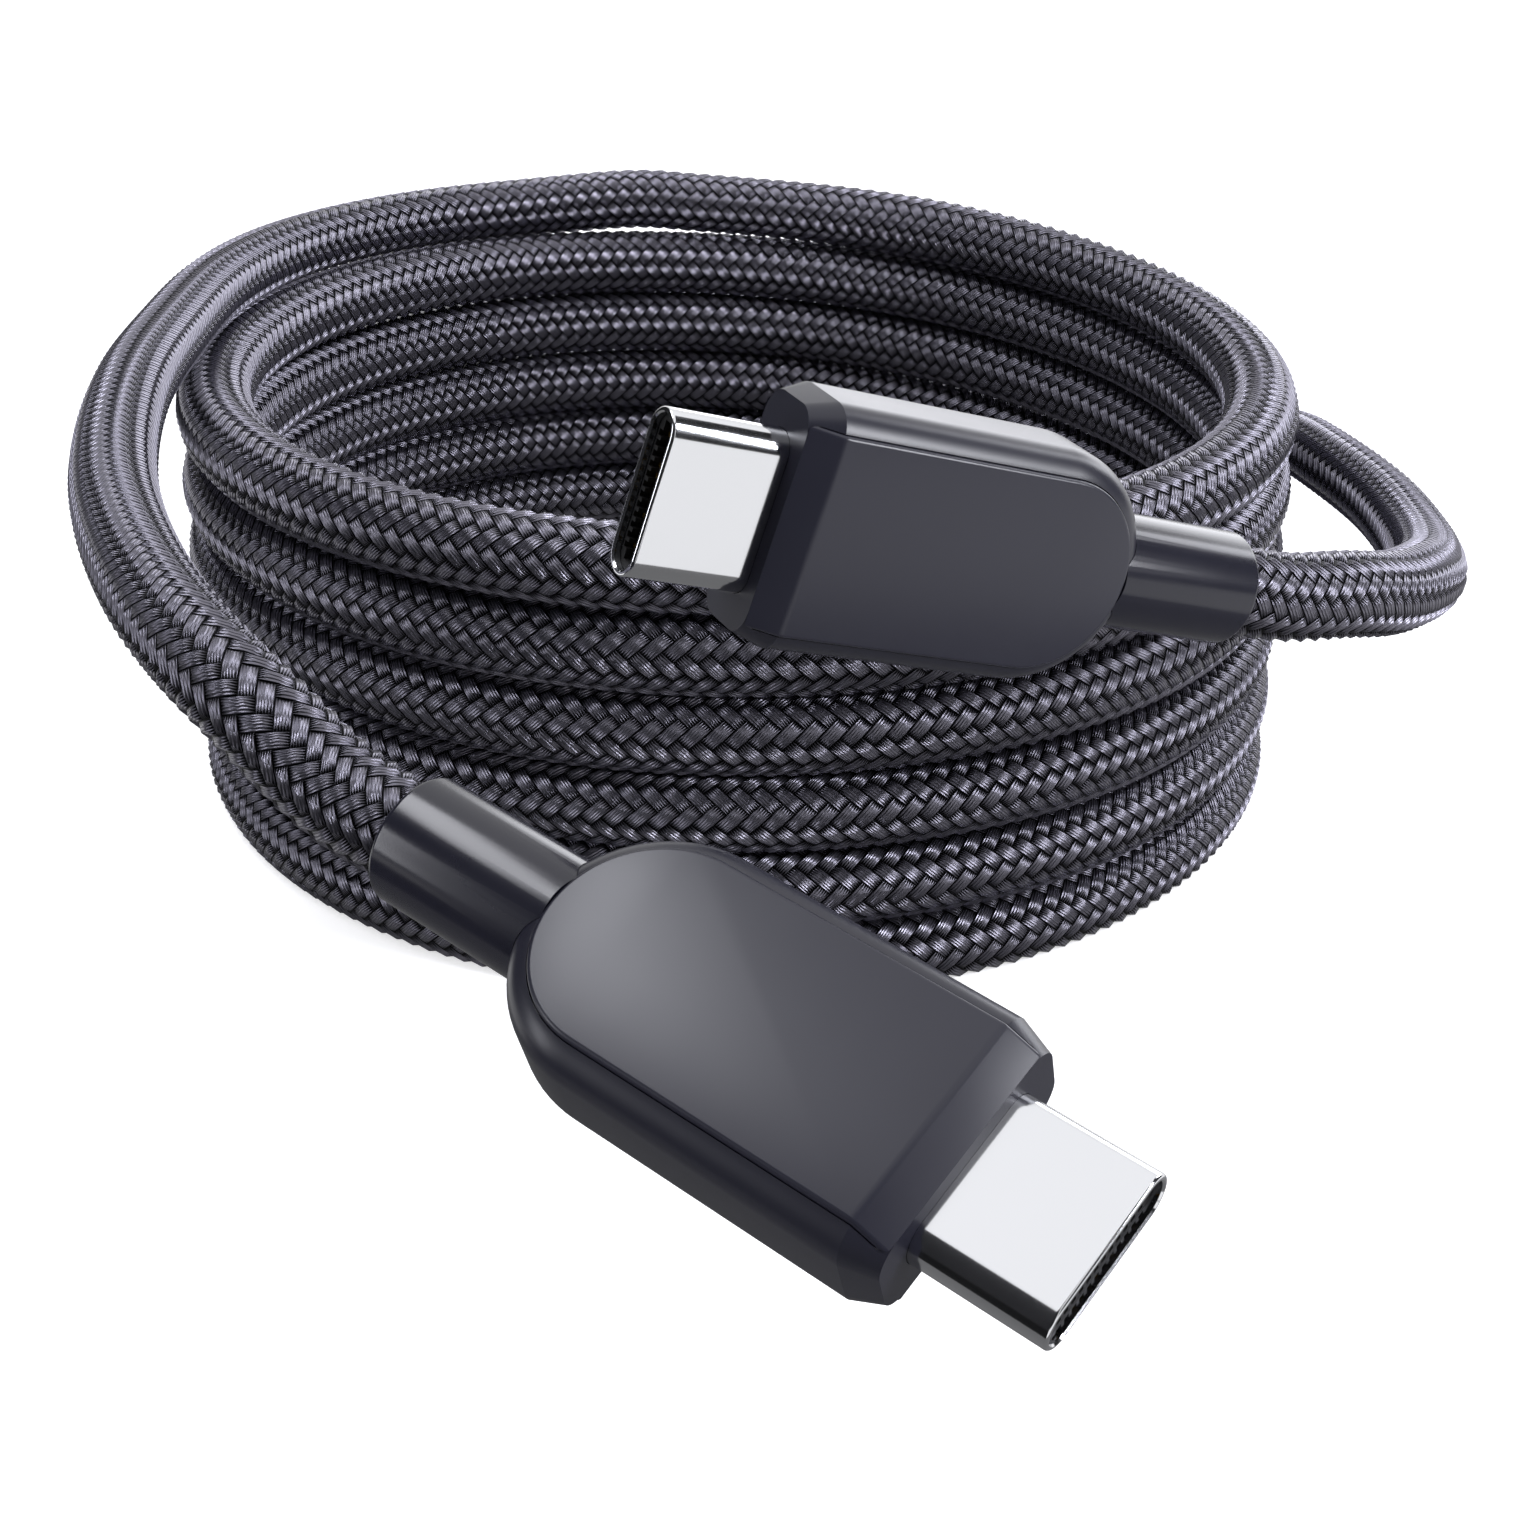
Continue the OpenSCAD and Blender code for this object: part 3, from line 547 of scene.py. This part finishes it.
def moulded_plastic(name, colour, roughness, grain, depth):
    """A moulded plastic, PC/ABS unless its name says another: a satin skin whose fine
    spark-eroded grain softens the shine."""
    mat, tree, shader = material(name)
    spot = add(tree, "ShaderNodeTexCoord").outputs["Object"]
    fine = add(tree, "ShaderNodeTexNoise", {"Vector": spot, "Scale": 1 / grain, "Detail": 2.0})
    broad = add(tree, "ShaderNodeTexNoise",
                {"Vector": spot, "Scale": PLASTIC_PATCHES, "Detail": 2.0})
    bump = add(tree, "ShaderNodeBump",
               {"Strength": 0.35, "Distance": depth, "Height": fine.outputs[0]})
    tint = add(tree, "ShaderNodeMix", data_type="RGBA")
    tree.links.new(broad.outputs[0], tint.inputs["Factor"])
    for socket, share in zip((6, 7), PATCH_TINTS):
        tint.inputs[socket].default_value = [c * share for c in colour[:3]] + [1]
    rough = add(tree, "ShaderNodeMapRange", {
        "Value": broad.outputs[0],
        "To Min": roughness - PATCH_ROUGH, "To Max": roughness + PATCH_ROUGH})
    tree.links.new(tint.outputs[2], shader.inputs["Base Color"])
    tree.links.new(rough.outputs[0], shader.inputs["Roughness"])
    tree.links.new(bump.outputs[0], shader.inputs["Normal"])
    shader.inputs["IOR"].default_value = 1.5
    return mat


def drawn_metal(name, colour, roughness, depth):
    """Drawn or stamped metal, polished: near-mirror, faintly clouded by the tool."""
    mat, tree, shader = material(name)
    spot = add(tree, "ShaderNodeTexCoord").outputs["Object"]
    cloud = add(tree, "ShaderNodeTexNoise",
                {"Vector": spot, "Scale": METAL_CLOUDS, "Detail": 3.0})
    rough = add(tree, "ShaderNodeMapRange", {
        "Value": cloud.outputs[0],
        "To Min": roughness * CLOUD_ROUGH[0], "To Max": roughness * CLOUD_ROUGH[1]})
    bump = add(tree, "ShaderNodeBump",
               {"Strength": 0.15, "Distance": depth, "Height": cloud.outputs[0]})
    tree.links.new(rough.outputs[0], shader.inputs["Roughness"])
    tree.links.new(bump.outputs[0], shader.inputs["Normal"])
    shader.inputs["Base Color"].default_value = colour
    shader.inputs["Metallic"].default_value = 1.0
    return mat


# ---- Pieces of a plug, drawn in its own frame: the nose face at x = 0, +X out of it ----

def chain(bm, points):
    """Vertices at points, and the edges from each to the next."""
    verts = [bm.verts.new(p) for p in points]
    return verts, [bm.edges.new(pair) for pair in zip(verts, verts[1:])]


def arc(centre, radius, start, end, steps):
    """Points on an arc, its angles in degrees."""
    return [(centre[0] + radius * math.cos(math.radians(start + (end - start) * k / steps)),
             centre[1] + radius * math.sin(math.radians(start + (end - start) * k / steps)))
            for k in range(steps + 1)]


def d_prism(radius, front, rear_x, low, high, steps=48):
    """A D-shaped block: straight from the front, round at the rear."""
    bm = bmesh.new()
    start = bm.verts.new((rear_x, radius, low))
    bmesh.ops.spin(bm, geom=[start], cent=(rear_x, 0, low), axis=(0, 0, 1),
                   angle=math.pi, steps=steps, use_merge=False)
    rim = sorted(bm.verts, key=lambda v: math.atan2(v.co.y, v.co.x - rear_x) % (2 * math.pi))
    nose = [bm.verts.new((front, -radius, low)), bm.verts.new((front, radius, low))]
    base = bm.faces.new([*rim, *nose])
    top = bmesh.ops.extrude_face_region(bm, geom=[base])["geom"]
    bmesh.ops.translate(bm, vec=(0, 0, high - low), verts=verts_in(top))
    bmesh.ops.recalc_face_normals(bm, faces=bm.faces)
    return bm


def stadium_loop(width, height, steps=16):
    """A section with straight sides and round ends."""
    r = height / 2
    c = width / 2 - r
    return arc((c, 0), r, -90, 90, steps) + arc((-c, 0), r, 90, 270, steps)


def cover(plug, side):
    """A D plate with the nose bevel on its outer face and a soft edge all round it."""
    radius = plug.cover_width / 2
    high = plug.thickness / 2
    low = high - COVER_THICK * MM
    bm = d_prism(radius, 0, radius - plug.cover_length, low, high)
    bmesh.ops.bisect_plane(bm, geom=[*bm.verts, *bm.edges, *bm.faces], clear_outer=True,
                           plane_co=(-BEVEL_LENGTH * MM, 0, high),
                           plane_no=(COVER_THICK, 0, BEVEL_LENGTH))
    bmesh.ops.remove_doubles(bm, verts=bm.verts, dist=1e-6)
    bmesh.ops.holes_fill(bm, edges=[e for e in bm.edges if e.is_boundary], sides=0)
    bmesh.ops.recalc_face_normals(bm, faces=bm.faces)
    rim = [e for e in bm.edges if e.is_manifold and e.calc_face_angle(0) > math.radians(RIM_ANGLE)
           and max(v.co.z for v in e.verts) > low + 0.01 * MM]  # its inner face stays sharp
    bmesh.ops.bevel(bm, geom=rim, offset=plug.edge, segments=3, profile=0.5,
                    affect="EDGES", material=-1, clamp_overlap=True)
    if side < 0:
        bmesh.ops.scale(bm, vec=(1, 1, -1), verts=bm.verts)
        bmesh.ops.reverse_faces(bm, faces=bm.faces)
    return bm


def frame_body(plug, grow=0.0):
    """The side frame before its seats are cut: straight sides, a round rear, a drawn nose."""
    radius = plug.cover_width / 2
    rear_x = radius - plug.cover_length
    half_w = radius + SIDE_WALL * MM + grow
    half_h = plug.thickness / 2 - COVER_PROUD * MM + grow
    nose_w, nose_h = half_w - NOSE_INSET * MM, plug.thickness / 2 - NOSE_DROP * MM
    straight, r = rear_x + BEVEL_LENGTH * MM, SIDE_ROUND * MM
    bm = bmesh.new()
    right = (arc((half_w - r, -half_h + r), r, -90, 0, CORNER_STEPS)
             + arc((half_w - r, half_h - r), r, 0, 90, CORNER_STEPS))
    half = [(0, -half_h), *right, (0, half_h)]
    edges = chain(bm, [(-BEVEL_LENGTH * MM, y, z) for y, z in half])[1]

    # one side back, round the rear, and the other side forward again
    side = bmesh.ops.extrude_edge_only(bm, edges=edges)["geom"]
    bmesh.ops.translate(bm, vec=(straight, 0, 0), verts=verts_in(side))
    ring = [e for e in edges_in(side) if all(abs(v.co.x - rear_x) < TINY for v in e.verts)]
    spun = bmesh.ops.spin(bm, geom=ring, cent=(rear_x, 0, 0), axis=(0, 0, 1),
                          angle=math.pi, steps=REAR_STEPS, use_merge=False)["geom_last"]
    side = bmesh.ops.extrude_edge_only(bm, edges=edges_in(spun))["geom"]
    bmesh.ops.translate(bm, vec=(-straight, 0, 0), verts=verts_in(side))
    bmesh.ops.remove_doubles(bm, verts=bm.verts, dist=TINY)

    # the nose is drawn in to its flat face
    rim = [e for e in bm.edges if e.is_boundary]
    nose = bmesh.ops.extrude_edge_only(bm, edges=rim)["geom"]
    for v in verts_in(nose):
        v.co = (0, v.co.y * nose_w / half_w, v.co.z * nose_h / half_h)
    front = [e for e in edges_in(nose) if all(abs(v.co.x) < TINY for v in e.verts)]
    bmesh.ops.contextual_create(bm, geom=front)
    bmesh.ops.recalc_face_normals(bm, faces=bm.faces)
    return bm


def carve(bm, cutters, edge=0.0, segments=2):
    """Cuts solids out of another, softens the edges that are left and returns a new bmesh."""
    body = to_object(bm, "carving")
    tools = [to_object(c, "cutter") for c in cutters]
    for tool in tools:
        cut = body.modifiers.new("cut", "BOOLEAN")
        cut.operation, cut.solver, cut.object = "DIFFERENCE", "EXACT", tool
    if edge:
        soft = body.modifiers.new("soft", "BEVEL")
        soft.width, soft.segments, soft.limit_method = edge, segments, "ANGLE"
        soft.angle_limit = math.radians(SOFT_ANGLE)
    carved = body.evaluated_get(bpy.context.evaluated_depsgraph_get())
    out = bmesh.new()
    out.from_mesh(carved.data)
    for obj in (body, *tools):
        bpy.data.objects.remove(obj)
    return out


def prism_x(loop, x0, x1):
    """A block with a section in Y and Z, from x0 to x1."""
    bm = bmesh.new()
    base = bm.faces.new([bm.verts.new((x0, y, z)) for y, z in loop])
    far = bmesh.ops.extrude_face_region(bm, geom=[base])["geom"]
    bmesh.ops.translate(bm, vec=(x1 - x0, 0, 0), verts=verts_in(far))
    bmesh.ops.recalc_face_normals(bm, faces=bm.faces)
    return bm


def side_frame(plug):
    """The frame that the covers sit in, with its seats, its hollow and its mouth."""
    radius = plug.cover_width / 2
    rear_x = radius - plug.cover_length
    ledge = plug.thickness / 2 - COVER_THICK * MM
    seat = radius + SEAT_GAP * MM
    cutters = [  # seats and mouth start 1 mm before the nose's face
        d_prism(seat, MM, rear_x, ledge, SEAT_REACH * MM),
        d_prism(seat, MM, rear_x, -SEAT_REACH * MM, -ledge),
        d_prism(radius - SEAT_RIM * MM, -FRONT_WALL * MM, rear_x,
                -HOLLOW_REACH * MM, HOLLOW_REACH * MM),
        prism_x(stadium_loop(MOUTH_WIDTH * MM, MOUTH_HEIGHT * MM), -MOUTH_DEPTH * MM, MM),
    ]
    return carve(frame_body(plug), cutters, edge=FRAME_EDGE * MM)


def strain_relief(plug):
    """A round rubber barrel with a soft rim, cut to the housing's round rear."""
    radius, end = plug.relief / 2, -(plug.cover_length + plug.relief_length)
    bore, rim, root = RELIEF_BORE * MM, RELIEF_RIM * MM, -RELIEF_ROOT * MM
    outline = [(end, bore), *arc((end + rim, radius - rim), rim, 180, 90, RIM_STEPS),
               (root, radius), (root, bore)]
    bm = bmesh.new()
    verts, edges = chain(bm, [(x, r, 0) for x, r in outline])
    edges.append(bm.edges.new((verts[-1], verts[0])))
    bmesh.ops.spin(bm, geom=edges, cent=(0, 0, 0), axis=(1, 0, 0), angle=2 * math.pi,
                   steps=64, use_merge=True)
    bmesh.ops.remove_doubles(bm, verts=bm.verts, dist=TINY)
    bmesh.ops.recalc_face_normals(bm, faces=bm.faces)
    gap, rear = RELIEF_GAP * MM, plug.cover_width / 2
    return carve(bm, [frame_body(plug, gap),
                      d_prism(rear + gap, MM, rear - plug.cover_length,
                              -HOLLOW_REACH * MM, HOLLOW_REACH * MM)])


def steel_shell():
    """The plug's drawn steel shell: a round-ended tube with a rolled lip."""
    tip, root, wall = SHELL_SHOWS * MM, -SHELL_ROOT * MM, SHELL_WALL * MM
    lip, inner = LIP_OUTER * MM, LIP_INNER * MM
    stations = [(root, 0), *arc((tip - lip, lip), lip, -90, 0, LIP_STEPS),
                (tip, wall - inner), (tip - inner, wall), (root, wall)]
    bm = bmesh.new()
    loops = []
    for x, inset in stations:
        loop = stadium_loop(SHELL_WIDTH * MM - 2 * inset, SHELL_HEIGHT * MM - 2 * inset)
        verts = [bm.verts.new((x, y, z)) for y, z in loop]
        loops.append([bm.edges.new((verts[k], verts[(k + 1) % len(verts)]))
                      for k in range(len(verts))])
    for a, b in zip(loops, [*loops[1:], loops[0]]):
        bmesh.ops.bridge_loops(bm, edges=[*a, *b])
    bmesh.ops.recalc_face_normals(bm, faces=bm.faces)
    return bm


# ---- Operators ----

class CABLE_OT_cord(bpy.types.Operator):
    """Lays the woven cord from one strain relief to the other"""

    bl_idname = "cable.cord"
    bl_label = "Woven cord"

    def execute(self, context):
        sizes, plug = context.scene.braid_sizes, context.scene.plug_sizes
        line = cord_line(sizes, plug)
        cord = finish_piece(woven_tube(line, sizes), "woven_cord", braided_nylon(sizes),
                            ["cable_coil", "front_cable_run", "rear_cable_run"], sharp=None)
        length = sum((b - a).length for a, b in zip(line, line[1:]))
        print(f"cord length {length:.4f} m, {len(line)} rings")
        return {"FINISHED"}


class CABLE_OT_housings(bpy.types.Operator):
    """Moulds each plug's side frame, its two covers and its strain relief"""

    bl_idname = "cable.housings"
    bl_label = "Housings and reliefs"

    def execute(self, context):
        plug = context.scene.plug_sizes
        cover_skin, frame_skin, rubber = [
            moulded_plastic(name, [c * share for c in plug.housing], *skin)
            for name, (share, *skin) in SKINS.items()]
        for end in PLUGS:
            place = plug_place(end)
            finish_piece(side_frame(plug), f"{end}_moulded_frame", frame_skin,
                         [f"{end}_side_frame"], place, sharp=FRAME_SHARP)
            for name, side in (("top", 1), ("bottom", -1)):
                finish_piece(cover(plug, side), f"{end}_moulded_{name}_cover", cover_skin,
                             [f"{end}_{name}_cover"], place)
            finish_piece(strain_relief(plug), f"{end}_moulded_relief", rubber,
                         [f"{end}_strain_relief"], place)
        return {"FINISHED"}


class CABLE_OT_shells(bpy.types.Operator):
    """Draws each plug's steel shell"""

    bl_idname = "cable.shells"
    bl_label = "Steel shells"

    def execute(self, context):
        steel = drawn_metal("polished_stainless_steel", linear("#e4e5e9"), 0.12, 0.000001)
        for end in PLUGS:
            finish_piece(steel_shell(), f"{end}_drawn_shell", steel,
                         [f"{end}_plug_shell"], plug_place(end))
        return {"FINISHED"}


class CABLE_OT_inside(bpy.types.Operator):
    """Finishes the pieces inside each plug, which keep their own shapes"""

    bl_idname = "cable.inside"
    bl_label = "Inner pieces"

    def execute(self, context):
        looks = {  # name, colour, roughness, and the grain's size and depth in metres
            "insulator": moulded_plastic("glass_filled_lcp", linear("#060607"), 0.7, 0.0001, 5e-6),
            "contacts": drawn_metal("gold_plated_bronze", linear("#d8b25c"), 0.2, 1e-6),
            "springs": drawn_metal("sprung_stainless_steel", linear("#b4b5ba"), 0.3, 1e-6),
            "board": moulded_plastic("green_solder_resist", linear("#1f5a3a"), 0.3, 0.0002, 5e-6),
            "chips": moulded_plastic("black_epoxy_package", linear("#242428"), 0.5, 0.0001, 5e-6),
            "can": drawn_metal("tinned_steel_sheet", linear("#bfc0c6"), 0.35, 1e-6),
            "mould": moulded_plastic("natural_polyethylene", linear("#d9d6c8"), 0.5, 0.0002, 5e-6),
            "crimp": drawn_metal("brass_crimp", linear("#c2a86a"), 0.35, 1e-6),
            "jacket": moulded_plastic("cable_jacket_pvc", linear("#26252b"), 0.5, 0.0002, 5e-6),
            "wire": moulded_plastic("wire_insulation_pvc", linear("#a83232"), 0.4, 0.0002, 5e-6),
        }
        kept = {
            "insulator": "insulator", "upper_contacts": "contacts", "lower_contacts": "contacts",
            "ground_springs": "springs", "latch_plate": "springs", "circuit_board": "board",
            "board_chips": "chips", "can_lid": "can", "can_base": "can", "inner_mould": "mould",
            "crimp_ring": "crimp", "cable_tail": "jacket", "conductors": "wire",
        }
        for end in PLUGS:
            for name, look in kept.items():
                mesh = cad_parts[f"{end}_{name}"].data
                mesh.materials.clear()
                mesh.materials.append(looks[look])
        return {"FINISHED"}


class CABLE_OT_stage(bpy.types.Operator):
    """Sets the floor, the soft studio light and the camera"""

    bl_idname = "cable.stage"
    bl_label = "Stage"

    def execute(self, context):
        stage = context.scene.stage_sizes
        scene = context.scene
        scene.view_settings.view_transform = "Standard"

        bm = bmesh.new()
        bmesh.ops.create_grid(bm, x_segments=1, y_segments=1, size=FLOOR_HALF)
        floor = to_object(bm, "floor")
        floor.location.z = -FLOOR_DROP
        mat, tree, shader = material("matt_white_paper")
        tree.nodes.remove(shader)
        paper = add(tree, "ShaderNodeBsdfDiffuse", {"Color": [*stage.floor, 1]})
        glow = add(tree, "ShaderNodeEmission", {"Color": WHITE, "Strength": FLOOR_GLOW})
        both = add(tree, "ShaderNodeAddShader", [paper.outputs[0], glow.outputs[0]])
        pick = add(tree, "ShaderNodeMixShader", [background_rays(tree), paper.outputs[0],
                                                 both.outputs[0]])
        tree.links.new(pick.outputs[0], tree.nodes["Material Output"].inputs[0])
        floor.data.materials.append(mat)
        floor.visible_glossy = False  # polished pieces show the white tent all round

        cloth, _, shader = material("black_flock_cloth")
        shader.inputs["Base Color"].default_value = linear(CLOTH)
        shader.inputs["Roughness"].default_value = 1.0
        for screen in SCREENS:
            dark_screen(*screen, cloth)
        bm = bmesh.new()
        bmesh.ops.create_circle(bm, cap_ends=True, segments=48, radius=CARD_RADIUS,
                                matrix=Matrix.Translation(CARD_AT))
        card, _, shader = material("grey_card")
        shader.inputs["Base Color"].default_value = linear(CLOTH)
        shader.inputs["Emission Color"].default_value = WHITE
        shader.inputs["Emission Strength"].default_value = CARD_GLOW
        only_mirrored(bm, "under_card", card)

        world = bpy.data.worlds.new("white_tent")
        world.use_nodes = True
        scene.world = world
        tree = world.node_tree
        back = tree.nodes["Background"]
        level = add(tree, "ShaderNodeMapRange",
                    {"Value": background_rays(tree), "To Min": TENT_LIGHT, "To Max": TENT_SEEN})
        tree.links.new(level.outputs[0], back.inputs["Strength"])
        back.inputs["Color"].default_value = WHITE

        for name, spot, wide, high, power in LAMPS:
            data = bpy.data.lights.new(name, "AREA")
            data.shape, data.size, data.size_y, data.energy = "RECTANGLE", wide, high, power
            data.color = LAMP_COLOUR
            lamp = bpy.data.objects.new(name, data)
            lamp.visible_camera = False
            lamp.location = spot
            aim = Vector(LAMPS_AIM) - Vector(spot)
            lamp.rotation_euler = aim.to_track_quat("-Z", "Y").to_euler()
            scene.collection.objects.link(lamp)

        camera = bpy.data.objects.new("camera", bpy.data.cameras.new("camera"))
        camera.data.sensor_width = 36
        camera.data.lens = stage.lens
        camera.data.clip_start, camera.data.clip_end = 0.005, 10
        tilt = Euler((math.pi / 2 - stage.elevation, 0, 0)).to_matrix()
        turned = tilt @ Matrix.Rotation(stage.roll, 3, "Z")
        camera.rotation_euler = turned.to_euler()
        camera.location = Vector(stage.look_at) + tilt @ Vector((0, 0, stage.distance))
        scene.collection.objects.link(camera)
        scene.camera = camera
        return {"FINISHED"}


class CABLE_PT_panel(bpy.types.Panel):
    """Lists the steps that dress the cable"""

    bl_idname = "CABLE_PT_panel"
    bl_label = "Charging cable"
    bl_space_type = "VIEW_3D"
    bl_region_type = "UI"
    bl_category = "Cable"

    def draw(self, context):
        for sizes in GROUPS:
            group = getattr(context.scene, sizes)
            for name in group.bl_rna.properties.keys():
                if name not in ("rna_type", "name"):
                    self.layout.prop(group, name)
        for step in STEPS:
            self.layout.operator(step.bl_idname)


STEPS = (CABLE_OT_stage, CABLE_OT_housings, CABLE_OT_shells, CABLE_OT_inside, CABLE_OT_cord)
GROUPS = {"braid_sizes": BraidSizes, "plug_sizes": PlugSizes, "stage_sizes": StageSizes}


def register():
    for cls in (*GROUPS.values(), *STEPS, CABLE_PT_panel):
        bpy.utils.register_class(cls)
    for name, group in GROUPS.items():
        setattr(bpy.types.Scene, name, bpy.props.PointerProperty(type=group))


def unregister():
    for name in GROUPS:
        delattr(bpy.types.Scene, name)
    for cls in reversed((*GROUPS.values(), *STEPS, CABLE_PT_panel)):
        bpy.utils.unregister_class(cls)


def main():
    register()
    bpy.ops.cable.stage()
    bpy.ops.cable.housings()
    bpy.ops.cable.shells()
    bpy.ops.cable.inside()
    bpy.ops.cable.cord()


if __name__ == "__main__":
    main()
